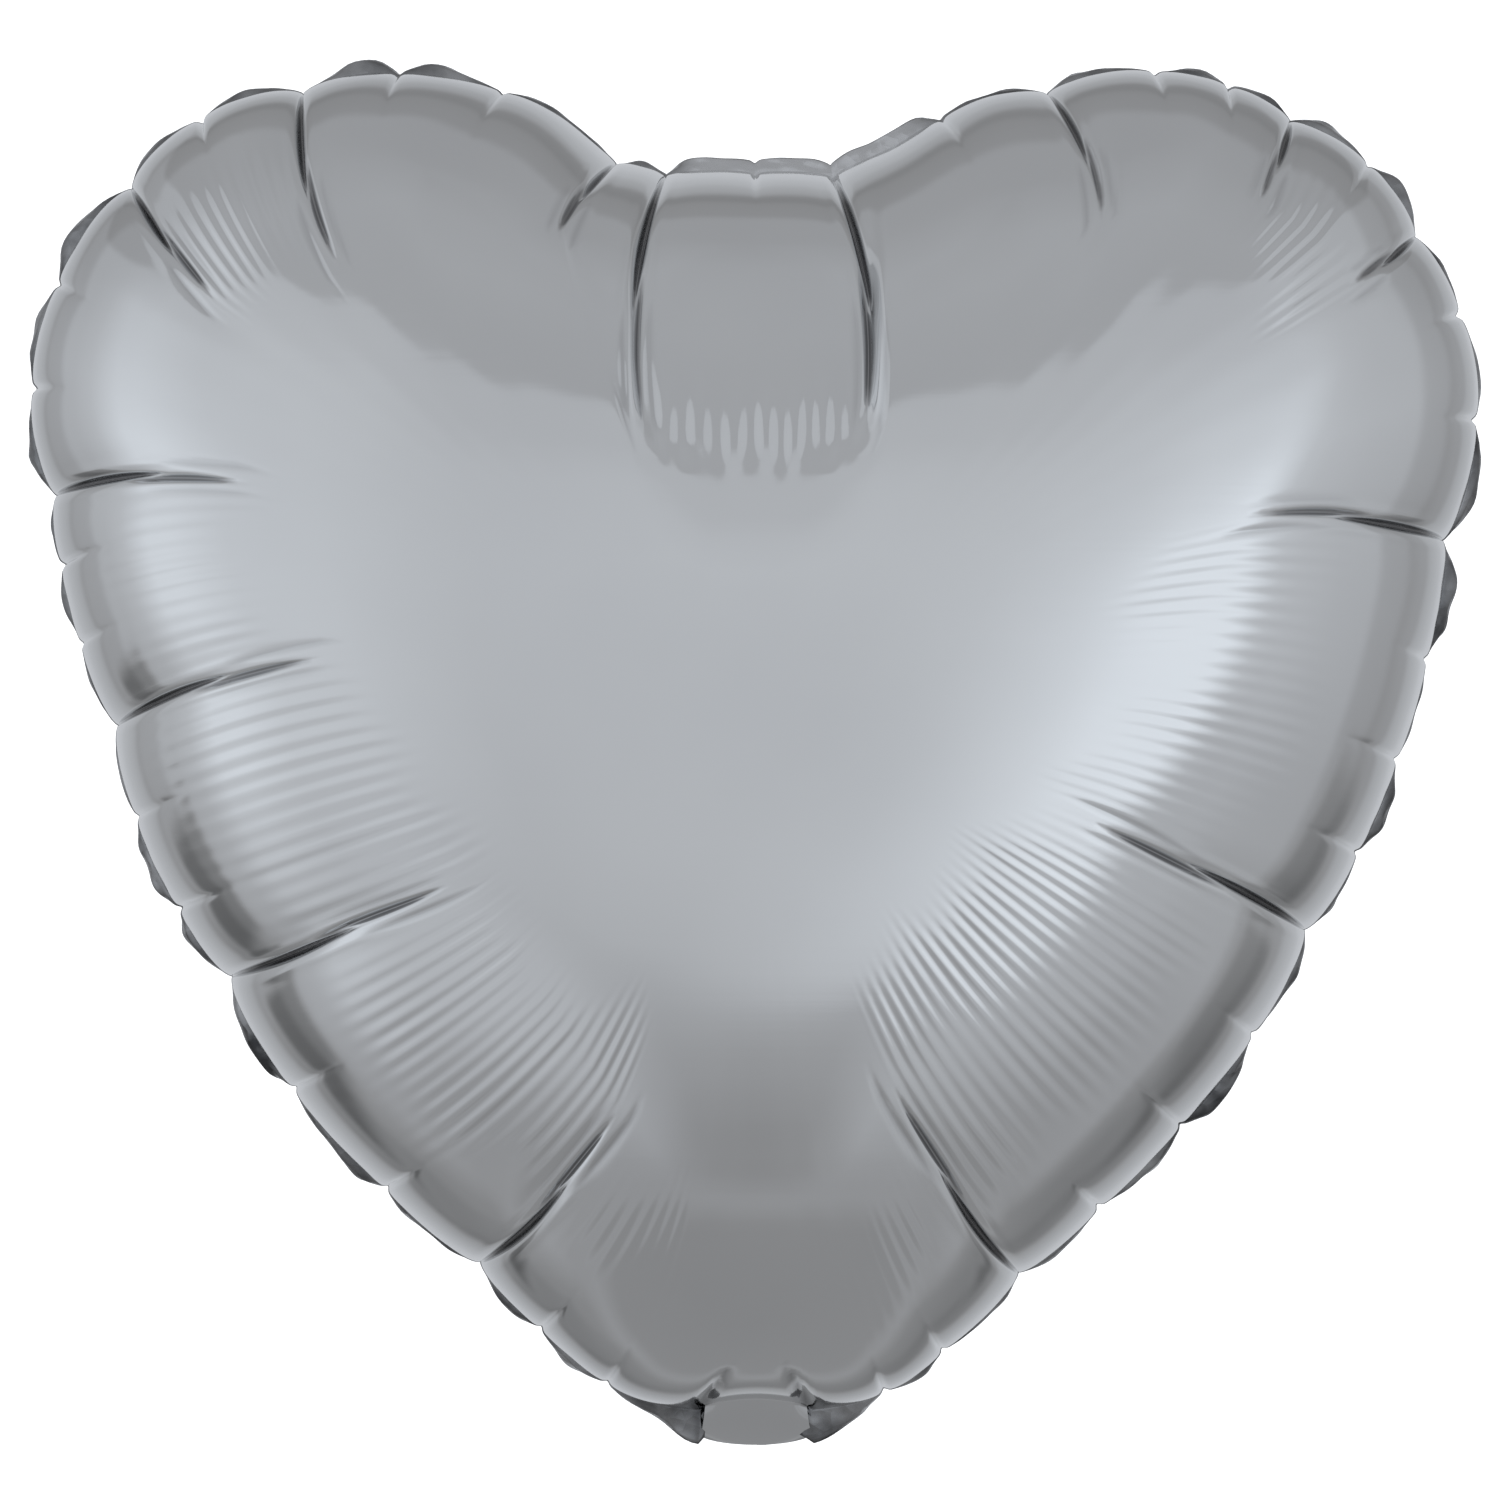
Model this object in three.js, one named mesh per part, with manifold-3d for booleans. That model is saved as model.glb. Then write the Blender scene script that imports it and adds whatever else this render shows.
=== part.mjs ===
// Heart-shaped foil balloon, inflated: two sheets of metallised film welded together round a heart outline,
// with a filling neck at the tip and a self-sealing film valve inside it.
//
// Millimetres, +Z up, the front faces -Y. The origin is on the fold line at the heart's tip, where the neck
// leaves the heart and where a ribbon is tied.
import * as THREE from "three";
import { mergeVertices } from "three/addons/utils/BufferGeometryUtils.js";
import Module from "manifold-3d";

// ---- Driving dimensions ----
const FILM = 0.6; // wall of the foil film; the real film is thinner than a faceted solid can be
const PLY = 0.4; // wall of a valve ply
const WELD = 0.3; // a heat seal, between the two films that it joins
const GAP = 0.3; // clearance left between neighbouring sheets
const FILM_FROM_MID = WELD / 2 + GAP; // inner face of each film to the mid plane, where they are welded

const HALF_DEPTH = 95; // front film's crown to the mid plane
const CROWN_HEIGHT = 190; // height of both crowns above the tip's fold line
const CROWN_POWER = 2.4; // how flat the film is round its crown
const RIM_POWER = 0.55; // how steeply it comes down to the seam
const ROUNDING = 0.45; // how far the contours near the crown turn from the heart outline to a circle
const ROUND_RADIUS = 168; // radius of that circle at the seam's size
const SEAL_WIDTH = 5; // the flat welded edge outside the seam

const COLUMNS_PER_HALF = 40; // facets round half the heart
const RINGS = 9; // facets from the crown to the seam
const RING_CROWDING = 1.6; // above 1 puts the rings closer together near the seam, where the film turns down

const HINGE_CLEAR = 5; // fold line to the first stiff edge on each side of it
const THROAT_TOP = HINGE_CLEAR + SEAL_WIDTH; // the seam ends here and the neck's channel starts
const NECK_HALF_WIDTH = 20;
const CHANNEL_HALF_WIDTH = 15; // the neck's channel, between its two side seals
const CHANNEL_FLAT = 9; // half the width of the channel's flat walls
const CHANNEL_RISE = 3.5; // half the channel's height, from the side seals' level
const NECK_LENGTH = 66;
const NECK_FOLD = Math.PI / 2; // the neck is folded back from hanging straight down

const VALVE_HALF_WIDTH = 12.5;
const PASSAGE_HALF_WIDTH = 9.5; // the open way between the valve's two side welds
const PASSAGE_FLAT = 7;
const VALVE_TOP = 74; // the valve's free end, inside the heart
const VALVE_FOOT = THROAT_TOP + 1.5; // its lower end, high enough over the throat to swing
const COAT = 0.2; // printed heat-resistant coat
const COAT_LENGTH = 14;
const TACK = 0.1; // heat tack between a valve ply and the neck's film
const TACK_LENGTH = 3;
const NOTCH_RADIUS = 6; // half-round notch in the neck's back film, at the mouth

// The seam's right half, from the cleft over the lobe and down to the neck: x, z.
const SEAM_POINTS = [
  [0, 326.5], [34, 331], [64.5, 345], [102, 350.5], [139, 341], [169, 315.5], [185, 270],
  [174.5, 213], [154, 151.5], [124, 99.5], [77.5, 49], [49, 23.5], [33, 12.5],
];

const wasm = await Module();
wasm.setup();

// ---- Materials ----
const foil = new THREE.MeshStandardMaterial({ color: 0xb9bcc0, roughness: 0.22, metalness: 1 });
const foilEdge = new THREE.MeshStandardMaterial({ color: 0x8e9195, roughness: 0.35, metalness: 1 });
const clearFilm = new THREE.MeshStandardMaterial({ color: 0xdfe3e6, roughness: 0.3, metalness: 0 });
const coatInk = new THREE.MeshStandardMaterial({ color: 0x4f6fa8, roughness: 0.6, metalness: 0 });

// ---- Seam outline ----
// Columns run clockwise seen from the front, starting at the cleft. Each has a seam point and an outward
// direction in the heart's plane. The throat's columns lie on its straight edge.
const THROAT_STOPS = [NECK_HALF_WIDTH - 1.5, CHANNEL_HALF_WIDTH, 12, CHANNEL_FLAT, 4.5];

function halfColumns() {
  const side = new THREE.SplineCurve(SEAM_POINTS.map(([x, z]) => new THREE.Vector2(x, z)));
  const points = side.getSpacedPoints(COLUMNS_PER_HALF);
  THROAT_STOPS.forEach((x) => points.push(new THREE.Vector2(x, THROAT_TOP)));
  points.push(new THREE.Vector2(0, THROAT_TOP));
  return points;
}

function seamColumns() {
  const right = halfColumns();
  const left = right.slice(1, -1).reverse().map((p) => new THREE.Vector2(-p.x, p.y));
  const points = [...right, ...left];
  return points.map((at, i) => {
    const before = points[(i + points.length - 1) % points.length];
    const after = points[(i + 1) % points.length];
    const along = after.clone().sub(before).normalize();
    const inThroat = at.y === THROAT_TOP && Math.abs(at.x) <= CHANNEL_HALF_WIDTH;
    const out = inThroat ? new THREE.Vector2(0, -1) : new THREE.Vector2(-along.y, along.x);
    return { at, out };
  });
}

// Height of the neck channel's wall above the side seals' level, across the neck.
function channelRise(x) {
  const slope = (CHANNEL_HALF_WIDTH - Math.abs(x)) / (CHANNEL_HALF_WIDTH - CHANNEL_FLAT);
  return CHANNEL_RISE * Math.min(1, Math.max(0, slope));
}

const columns = seamColumns();
const crown = new THREE.Vector2(0, CROWN_HEIGHT);

// ---- Closed surfaces ----
// A geometry from its points, each [x, y, z], and its triangles' corners, three point numbers each.
function closedMesh(points, triangles) {
  const geometry = new THREE.BufferGeometry();
  geometry.setAttribute("position", new THREE.Float32BufferAttribute(points.flat(), 3));
  geometry.setIndex(triangles);
  geometry.computeVertexNormals();
  return geometry;
}

// The same triangles, each facing the other way.
function turnedOver(faces) {
  return faces.map((_, i) => faces[i % 3 === 0 ? i : i % 3 === 1 ? i + 1 : i - 1]);
}

// Plan position of a film's ring, at share s of the way from the crown to the seam.
function ringPoint(column, s, inset) {
  const toSeam = column.at.clone().sub(crown);
  const reach = toSeam.length() - inset;
  const turn = ROUNDING * (1 - s) * (1 - s);
  return toSeam.normalize().multiplyScalar(s * (reach + (ROUND_RADIUS - reach) * turn)).add(crown);
}

function bulge(s) {
  return Math.pow(1 - Math.pow(s, CROWN_POWER), RIM_POWER);
}

// One heart-shaped film with its flat welded edge. side is -1 for the front film and 1 for the back film.
function heartFilm(side) {
  const points = [];
  const faces = [];
  const add = (plan, depth) => points.push([plan.x, side * depth, plan.y]) - 1;
  const quad = (a, b, c, d) => faces.push(a, b, c, a, c, d);
  const layers = [
    { inset: 0, lift: FILM_FROM_MID + FILM, depth: HALF_DEPTH - FILM_FROM_MID - FILM },
    { inset: FILM, lift: FILM_FROM_MID, depth: HALF_DEPTH - FILM_FROM_MID - 2 * FILM },
  ];
  const grids = layers.map(({ inset, lift, depth }) => {
    const centre = add(crown, lift + depth);
    const rows = columns.map((column) => {
      const rise = channelRise(column.at.x) * (column.at.y === THROAT_TOP ? 1 : 0);
      const row = [];
      for (let k = 1; k <= RINGS; k++) {
        const s = 1 - Math.pow(1 - k / RINGS, RING_CROWDING);
        row.push(add(ringPoint(column, s, inset), lift + rise + (depth - rise) * bulge(s)));
      }
      const edge = column.at.clone().addScaledVector(column.out, SEAL_WIDTH);
      row.push(add(edge, lift + rise));
      return row;
    });
    return { centre, rows };
  });
  const [outer, inner] = grids;
  columns.forEach((_, i) => {
    const next = (i + 1) % columns.length;
    [outer, inner].forEach(({ centre, rows }, layer) => {
      const [a, b] = layer === 0 ? [rows[i], rows[next]] : [rows[next], rows[i]];
      faces.push(centre, a[0], b[0]);
      for (let k = 0; k < RINGS; k++) quad(a[k], a[k + 1], b[k + 1], b[k]);
    });
    quad(outer.rows[i][RINGS], inner.rows[i][RINGS], inner.rows[next][RINGS], outer.rows[next][RINGS]);
  });
  return closedMesh(points, side < 0 ? turnedOver(faces) : faces);
}

// The weld between the two films' edges: a thin band that runs round the heart from one side of the neck to
// the other.
function edgeSeal() {
  const margin = 0.5;
  const isOpen = ({ at }) => at.y === THROAT_TOP && Math.abs(at.x) < CHANNEL_HALF_WIDTH;
  const start = columns.findIndex(isOpen);
  const round = [...columns.slice(start), ...columns.slice(0, start)].filter((c) => !isOpen(c));
  const points = [];
  const faces = [];
  round.forEach(({ at, out }) => {
    const near = at.clone().addScaledVector(out, margin);
    const far = at.clone().addScaledVector(out, SEAL_WIDTH - margin);
    [[near, 1], [far, 1], [far, -1], [near, -1]].forEach(([p, s]) => points.push([p.x, (s * WELD) / 2, p.y]));
  });
  const last = (round.length - 1) * 4;
  for (let i = 0; i < last; i += 4) {
    for (let k = 0; k < 4; k++) {
      const n = (k + 1) % 4;
      faces.push(i + k, i + n, i + 4 + n, i + k, i + 4 + n, i + 4 + k);
    }
  }
  faces.push(0, 2, 1, 0, 3, 2, last, last + 1, last + 2, last, last + 2, last + 3);
  return closedMesh(points, faces);
}

// ---- Neck and valve: sheets with a hat-shaped section, hanging straight down or standing straight up ----
// Section of a sheet of the given wall: flat edges at the level `base`, a raised flat middle, all on one side.
function hatSection({ halfWidth, foot, flat, base, rise, wall }) {
  const lower = [[-halfWidth, base], [-foot, base], [-flat, base + rise], [flat, base + rise], [foot, base],
    [halfWidth, base]];
  const upper = lower.map(([x, y]) => [x, y + wall]).reverse();
  return new THREE.Shape([...lower, ...upper].map(([x, y]) => new THREE.Vector2(x, y)));
}

// Extrudes a section drawn in (x, distance to the front) from height bottom to height top.
function sheetBetween(section, bottom, top, side) {
  const geometry = new THREE.ExtrudeGeometry(section, { depth: top - bottom, bevelEnabled: false });
  geometry.translate(0, 0, bottom);
  if (side < 0) geometry.rotateZ(Math.PI); // the sections are symmetric, so a half turn puts the sheet in front
  return geometry;
}

function bar(xFrom, xTo, half, bottom, top) {
  const geometry = new THREE.BoxGeometry(xTo - xFrom, 2 * half, top - bottom);
  geometry.translate((xFrom + xTo) / 2, 0, (bottom + top) / 2);
  return geometry;
}

function solid(geometry) {
  const bare = geometry.index ? geometry.toNonIndexed() : geometry.clone();
  bare.deleteAttribute("normal");
  bare.deleteAttribute("uv");
  const merged = mergeVertices(bare, 1e-4);
  const triVerts = new Uint32Array(merged.index.array);
  return new wasm.Manifold(
    new wasm.Mesh({ numProp: 3, vertProperties: merged.attributes.position.array, triVerts }),
  );
}

function geometryOf(manifold) {
  const { vertProperties, triVerts } = manifold.getMesh();
  const geometry = new THREE.BufferGeometry();
  geometry.setAttribute("position", new THREE.BufferAttribute(new Float32Array(vertProperties), 3));
  geometry.setIndex(new THREE.BufferAttribute(new Uint32Array(triVerts), 1));
  geometry.computeVertexNormals();
  return geometry;
}

const neckSection = hatSection({
  halfWidth: NECK_HALF_WIDTH, foot: CHANNEL_HALF_WIDTH, flat: CHANNEL_FLAT,
  base: FILM_FROM_MID, rise: CHANNEL_RISE, wall: FILM,
});
// The valve's plies lie inside the neck's films with a gap, and their own edges are welded to each other.
const PLY_RISE = FILM_FROM_MID + CHANNEL_RISE - GAP - PLY - (WELD / 2 + GAP);
const valveSection = hatSection({
  halfWidth: VALVE_HALF_WIDTH - 1, foot: PASSAGE_HALF_WIDTH, flat: PASSAGE_FLAT,
  base: WELD / 2 + GAP, rise: PLY_RISE, wall: PLY,
});
const PASSAGE_HALF = WELD / 2 + GAP + PLY_RISE; // mid plane to a ply's inner face

function neckBackFilm() {
  const sheet = solid(sheetBetween(neckSection, -NECK_LENGTH, -HINGE_CLEAR, 1));
  const cutter = new THREE.CylinderGeometry(NOTCH_RADIUS, NOTCH_RADIUS, 20, 24);
  cutter.translate(0, 10, -NECK_LENGTH);
  return geometryOf(sheet.subtract(solid(cutter)));
}

function neckParts() {
  const low = -NECK_LENGTH;
  const high = -HINGE_CLEAR;
  const seal = [CHANNEL_HALF_WIDTH + 0.5, NECK_HALF_WIDTH - 0.5];
  const valveWeld = [PASSAGE_HALF_WIDTH + 0.3, VALVE_HALF_WIDTH - 1.3];
  const entryLow = low + 4; // the valve starts a little inside the neck's mouth
  return {
    neck_front_film: [sheetBetween(neckSection, low, high, -1), foil],
    neck_back_film: [neckBackFilm(), foil],
    neck_seal_left: [bar(-seal[1], -seal[0], WELD / 2, low, high), foilEdge],
    neck_seal_right: [bar(seal[0], seal[1], WELD / 2, low, high), foilEdge],
    valve_entry_front_ply: [sheetBetween(valveSection, entryLow, high, -1), clearFilm],
    valve_entry_back_ply: [sheetBetween(valveSection, entryLow, high, 1), clearFilm],
    valve_entry_weld_left: [bar(-valveWeld[1], -valveWeld[0], WELD / 2, entryLow, high), clearFilm],
    valve_entry_weld_right: [bar(valveWeld[0], valveWeld[1], WELD / 2, entryLow, high), clearFilm],
    valve_tack_front: [valveTack(-1, entryLow), foilEdge],
    valve_tack_back: [valveTack(1, entryLow + 2 * NOTCH_RADIUS), foilEdge],
  };
}

// The valve's entry is tacked to the neck's films across their flat walls, so that a straw can't push it in.
function valveTack(side, low) {
  const geometry = new THREE.BoxGeometry(2 * PASSAGE_FLAT, TACK, TACK_LENGTH);
  geometry.translate(0, side * (FILM_FROM_MID + CHANNEL_RISE - GAP / 2), low + 1 + TACK_LENGTH / 2);
  return geometry;
}

function valveParts() {
  const weld = [PASSAGE_HALF_WIDTH + 0.3, VALVE_HALF_WIDTH - 1.3];
  const coat = new THREE.BoxGeometry(2 * (PASSAGE_FLAT - 1), COAT, COAT_LENGTH);
  coat.translate(0, PASSAGE_HALF - GAP - COAT / 2, VALVE_FOOT + 2 + COAT_LENGTH / 2);
  return {
    valve_front_ply: [sheetBetween(valveSection, VALVE_FOOT, VALVE_TOP, -1), clearFilm],
    valve_back_ply: [sheetBetween(valveSection, VALVE_FOOT, VALVE_TOP, 1), clearFilm],
    valve_weld_left: [bar(-weld[1], -weld[0], WELD / 2, VALVE_FOOT, VALVE_TOP), clearFilm],
    valve_weld_right: [bar(weld[0], weld[1], WELD / 2, VALVE_FOOT, VALVE_TOP), clearFilm],
    valve_release_coat: [coat, coatInk],
  };
}

// ---- Assembly ----
function addAll(group, parts) {
  for (const [name, [geometry, material]] of Object.entries(parts)) {
    const mesh = new THREE.Mesh(geometry, material);
    mesh.name = name;
    group.add(mesh);
  }
}

const balloon = new THREE.Group();
addAll(balloon, {
  front_film: [heartFilm(-1), foil],
  back_film: [heartFilm(1), foil],
  edge_seal: [edgeSeal(), foilEdge],
});

const valve = new THREE.Group();
addAll(valve, valveParts());
balloon.add(valve);

const neck = new THREE.Group();
addAll(neck, neckParts());
neck.rotation.x = NECK_FOLD;
balloon.add(neck);

export default balloon;
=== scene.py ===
"""Heart-shaped silver foil balloon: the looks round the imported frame.

Each foil film is a fine net from the welded seam to the crown. The smooth inflated shape comes first. Then
the film's spare width near the seam is laid into deep creases, short pinches and fine ripples, because foil
can't shrink. Shapes are worked out in millimetres, and the Blender objects are in metres.
"""
import math

import bpy
import numpy as np
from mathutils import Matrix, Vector


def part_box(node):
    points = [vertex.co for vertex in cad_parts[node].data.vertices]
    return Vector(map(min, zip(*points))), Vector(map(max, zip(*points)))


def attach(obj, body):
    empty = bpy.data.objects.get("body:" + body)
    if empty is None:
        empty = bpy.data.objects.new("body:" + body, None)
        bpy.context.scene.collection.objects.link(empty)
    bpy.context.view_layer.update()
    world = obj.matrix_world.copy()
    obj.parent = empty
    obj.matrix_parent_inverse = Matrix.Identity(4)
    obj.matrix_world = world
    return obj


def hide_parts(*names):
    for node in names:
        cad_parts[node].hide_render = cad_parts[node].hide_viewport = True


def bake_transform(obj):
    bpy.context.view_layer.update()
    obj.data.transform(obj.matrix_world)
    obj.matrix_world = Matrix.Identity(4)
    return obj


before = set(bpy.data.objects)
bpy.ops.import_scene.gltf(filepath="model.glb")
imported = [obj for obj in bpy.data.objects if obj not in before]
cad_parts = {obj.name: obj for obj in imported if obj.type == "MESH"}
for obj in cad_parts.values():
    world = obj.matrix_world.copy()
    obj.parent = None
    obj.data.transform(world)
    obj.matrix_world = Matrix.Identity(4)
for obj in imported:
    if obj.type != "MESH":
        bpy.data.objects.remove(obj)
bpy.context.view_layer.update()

MM = 0.001


def node_box(name):
    """Lowest and highest corners of a CAD node, in mm."""
    return [np.array(corner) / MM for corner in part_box(name)]


# ---- Driving sizes ----
HALF_DEPTH = -node_box("front_film")[0][1]
SEAL_WIDTH = 5.0  # welded edge outside the seam
CROWN = np.array([0.0, 190.0])  # x, z of both films' highest point

# The seam's right half, from the cleft over the lobe to the throat's middle: x, z.
SEAM_RIGHT = [
    (0, 326.5), (34, 331), (64.5, 345), (102, 350.5), (139, 341), (169, 315.5), (185, 270), (174.5, 213),
    (154, 151.5), (124, 99.5), (77.5, 49), (49, 23.5), (33, 12.5), (16, 9), (0, 9),
]
SEAM_SAMPLES = 2304

THROAT_HALF_WIDTH = 13.5
THROAT_FADE = 22.0  # how far up the film the throat's opening is felt
THROAT_OVERLAP = 2.4  # how far the welded edge runs on past the throat's corners
THROAT_RISE = 8.5  # half the throat's thickness at its middle, where it leaves the heart
NECK_RISE = 4.3  # and where the neck begins
NECK_CHANNEL = 15.0  # half width of the neck's open part
NECK_START = 5.0  # from the fold line, where the neck's own films begin
NECK_GATHER = 0.27  # share of its width that the neck loses there

THROAT_TOP = 9.0  # height of the throat's edge over the fold line
NECK_HALF_WIDTH, NECK_END, _ = node_box("neck_front_film")[1]
NOTCH_RADIUS = 6.0  # in the back film's mouth, where a straw goes in
valve_low, valve_high = node_box("valve_front_ply")
PLY_HALF_WIDTH, VALVE_FOOT, VALVE_TOP = valve_high[0], valve_low[2], valve_high[2]
ENTRY_END = node_box("valve_entry_front_ply")[1][1]
PASSAGE_HALF_WIDTH = 9.5
PLY_RISE = 2.7  # half the passage's height past the sheets' gap
SHEET_GAP = 0.3  # from a sleeve's mid plane to its sheets, at their welded sides
TACK_HALF_WIDTH, TACK_RISE, TACK_CHANNEL = 6.5, 3.3, 12.5  # the tacks lie between a ply and the neck's film
PRINT_HALF_WIDTH, PRINT_RISE, PRINT_GAP = 6.0, 2.6, 0.05  # the print lies on the back ply's inner face
weld_low, weld_high = node_box("valve_weld_right")
WELD_FROM, WELD_TO = weld_low[0], weld_high[0]
# Thicknesses that the small sheets are drawn with.
FILM_SHOWN, FLANGE_SHOWN, WELD_SHOWN, TACK_SHOWN, PRINT_SHOWN = 0.12, 0.2, 0.22, 0.14, 0.06

COLUMNS = 1480  # of a film's net, round the seam
ROWS = 65  # from the seam to the core
ROW_CROWDING = 1.8
CORE = 0.02  # share of the way from the crown to the seam where the last row lies
RIM_ROUNDNESS = 0.55
FLATNESS = 1.5
SWELL_TERMS = 36

# Places along the seam are mm from the cleft: to the right lobe, and below 0 to the left one.
# Deep creases: place at the seam, place of the inner end, reach inwards in mm, strength.
CREASES = [
    (20, 34, 68, 1.0), (80, 97, 38, 0.7), (145, 151, 26, 0.7), (190, 193, 24, 0.7), (272, 266, 54, 0.9),
    (380, 377, 64, 1.0), (497, 501, 60, 1.0), (-23, -35, 70, 1.0), (-36, -47, 27, 0.9),
    (-122, -137, 50, 0.9), (-174, -185, 40, 1.0), (-260, -251, 53, 0.9), (-322, -312, 58, 0.8),
    (-394, -405, 64, 1.0), (-493, -504, 55, 1.0),
]
# Short pinches of the rim between the deep creases.
PINCHES = [
    0, 52, 108, 127, 168, 213, 240, 303, 330, 356, 410, 440, 470, 525, 543, -538, -516, -462, -427, -372,
    -346, -299, -278, -232, -205, -149, -97, -70,
]
# Fine ripples square to the seam: first and last place along it, nearest and furthest distance from it,
# height.
RIPPLES = [
    (145, 192, 14, 50, 0.17), (270, 379, 26, 84, 0.05), (379, 497, 20, 92, 0.09),
    (505, 550, 12, 44, 0.04), (-550, -500, 12, 44, 0.04), (-493, -394, 16, 76, 0.09),
    (-394, -321, 12, 78, 0.09), (-318, -259, 12, 56, 0.06), (-174, -122, 12, 52, 0.18),
]
RIPPLE_LENGTH = 4.7
# The film's swell, and how far in it reaches, between the deep creases and between all creases and pinches.
PILLOW_SWELL, PILLOW_REACH = 2.4, 44
PUFF_SWELL, PUFF_REACH = 0.7, 9
# The straight ripples at the foot of the panel under the cleft: its sides and ends, x and z.
FINGERS_LEFT, FINGERS_RIGHT, FINGERS_FOOT, FINGERS_HEAD = -28.0, 30.0, 246.0, 273.0
FINGER_LENGTH, FINGER_HEIGHT = 7.8, 0.36
# The panel under the cleft: how far it is pulled back, its sides' x, and how softly they start.
CLEFT_SAG = 4.5
PANEL_LEFT, PANEL_RIGHT, PANEL_SOFTNESS = -32, 33, 5
PANEL_FLARE, FLARE_FROM, FLARE_HEIGHT = 18, 264, 16  # below that height the sides get softer, by this much
DEEPEST_FOLD = -7.5  # no fold or pinch goes further in than this
LEAST_HEIGHT = 0.12  # each film stays this far off the mid plane
RIM_LET_OUT = 1.2  # how far the rim stands out past the seam's outline, except at the cleft


# ---- The seam ----
def closed_curve(points, samples):
    """A closed Catmull-Rom curve through the points, sampled evenly along its length, and that length."""
    points = np.asarray(points, float)
    share = np.linspace(0, 1, 24, endpoint=False)[:, None]
    before, after, later = (np.roll(points, k, axis=0) for k in (1, -1, -2))
    fine = []
    for p0, p1, p2, p3 in zip(before, points, after, later):
        slope1, slope2 = (p2 - p0) / 2, (p3 - p1) / 2
        cubic = 2 * p1 - 2 * p2 + slope1 + slope2
        square = -3 * p1 + 3 * p2 - 2 * slope1 - slope2
        fine.append(cubic * share ** 3 + square * share ** 2 + slope1 * share + p1)
    fine = np.vstack(fine + [fine[0][:1]])
    length = np.concatenate([[0], np.cumsum(np.linalg.norm(np.diff(fine, axis=0), axis=1))])
    at = np.linspace(0, length[-1], samples, endpoint=False)
    return np.stack([np.interp(at, length, fine[:, k]) for k in (0, 1)], axis=1), length[-1]


def smoothed(table, sigma):
    """Gaussian smoothing round a closed table, sigma in samples."""
    spectrum = np.fft.rfft(table, axis=0)
    wave = np.arange(len(spectrum)) * 2 * math.pi / len(table)
    damp = np.exp(-0.5 * (wave * sigma) ** 2)
    return np.fft.irfft(spectrum * damp.reshape((-1,) + (1,) * (table.ndim - 1)), n=len(table), axis=0)


def unit(vectors):
    return vectors / np.linalg.norm(vectors, axis=-1, keepdims=True)


def inward_directions(outline):
    along = unit(np.roll(outline, -1, axis=0) - np.roll(outline, 1, axis=0))
    return np.stack([along[:, 1], -along[:, 0]], axis=1)


SEAM, SEAM_LENGTH = closed_curve(SEAM_RIGHT + [(-x, z) for x, z in SEAM_RIGHT[-2:0:-1]], SEAM_SAMPLES)


def round_seam(table, place):
    """Reads a table kept evenly round the seam at places in mm along it."""
    at = np.asarray(place) / SEAM_LENGTH * len(table)
    index = np.floor(at).astype(int)
    share = (at - index).reshape(at.shape + (1,) * (table.ndim - 1))
    return table[index % len(table)] * (1 - share) + table[(index + 1) % len(table)] * share


def gap_along(place, spot):
    """Signed distance along the closed seam from a spot."""
    return np.mod(place - spot + SEAM_LENGTH / 2, SEAM_LENGTH) - SEAM_LENGTH / 2


def seam_noise(rng, wavelength):
    """Smooth noise round the seam, about from -1 to 1."""
    table = smoothed(rng.standard_normal(SEAM_SAMPLES), wavelength / SEAM_LENGTH * SEAM_SAMPLES / 4)
    return table / table.std() * 0.6


def column_places():
    """Places of the columns: crowded at the creases and pinches, close enough for the ripples elsewhere."""
    fine = np.arange(SEAM_SAMPLES * 4) * SEAM_LENGTH / (SEAM_SAMPLES * 4)
    density = np.full(len(fine), 0.5)
    for first, last, *_ in RIPPLES:
        middle, half = (first + last) / 2, (last - first) / 2
        density = np.maximum(density, 0.92 * (np.abs(gap_along(fine, middle)) < half))
    density = np.maximum(density, 1.3 * (np.abs(gap_along(fine, 0)) < 42))
    for spot, *_ in CREASES:
        gap = gap_along(fine, spot)
        density += 1.2 * np.exp(-(gap / 4) ** 2) + 2.8 * np.exp(-(gap / 1.2) ** 2)
    for spot in PINCHES:
        density += 1.5 * np.exp(-(gap_along(fine, spot) / 1.6) ** 2)
    reached = np.concatenate([[0], np.cumsum(density)])
    wanted = np.linspace(0, reached[-1], COLUMNS, endpoint=False)
    return np.interp(wanted, reached, np.arange(len(reached)) * SEAM_LENGTH / len(fine))


# ---- The smooth inflated film ----
def swell_terms(plan):
    """Harmonic terms, even in x, about the crown: the real parts of the powers of one complex number."""
    point = ((plan[..., 1] - CROWN[1]) + 1j * plan[..., 0]) / HALF_DEPTH / 2
    return point, np.stack([(point ** power).real for power in range(SWELL_TERMS)], axis=-1)


def swell_weights():
    """Weights that make the swell, the soap film's shape over the heart, zero all along the seam."""
    point, terms = swell_terms(SEAM)
    return np.linalg.lstsq(terms, np.abs(point) ** 2, rcond=None)[0]


def inflated_height(plan, weights):
    """Height of the smooth film over the mid plane. The plan's first row lies on the seam."""
    point, terms = swell_terms(plan)
    swell = terms @ weights - np.abs(point) ** 2
    swell -= swell[:, :1] * np.linspace(1, 0, plan.shape[1]) ** 2
    share = np.clip(swell / swell.max(), 0, 1)
    height = HALF_DEPTH * (1 - (1 - share) ** FLATNESS) ** RIM_ROUNDNESS
    height[:, 0] = 0
    return height


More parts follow.
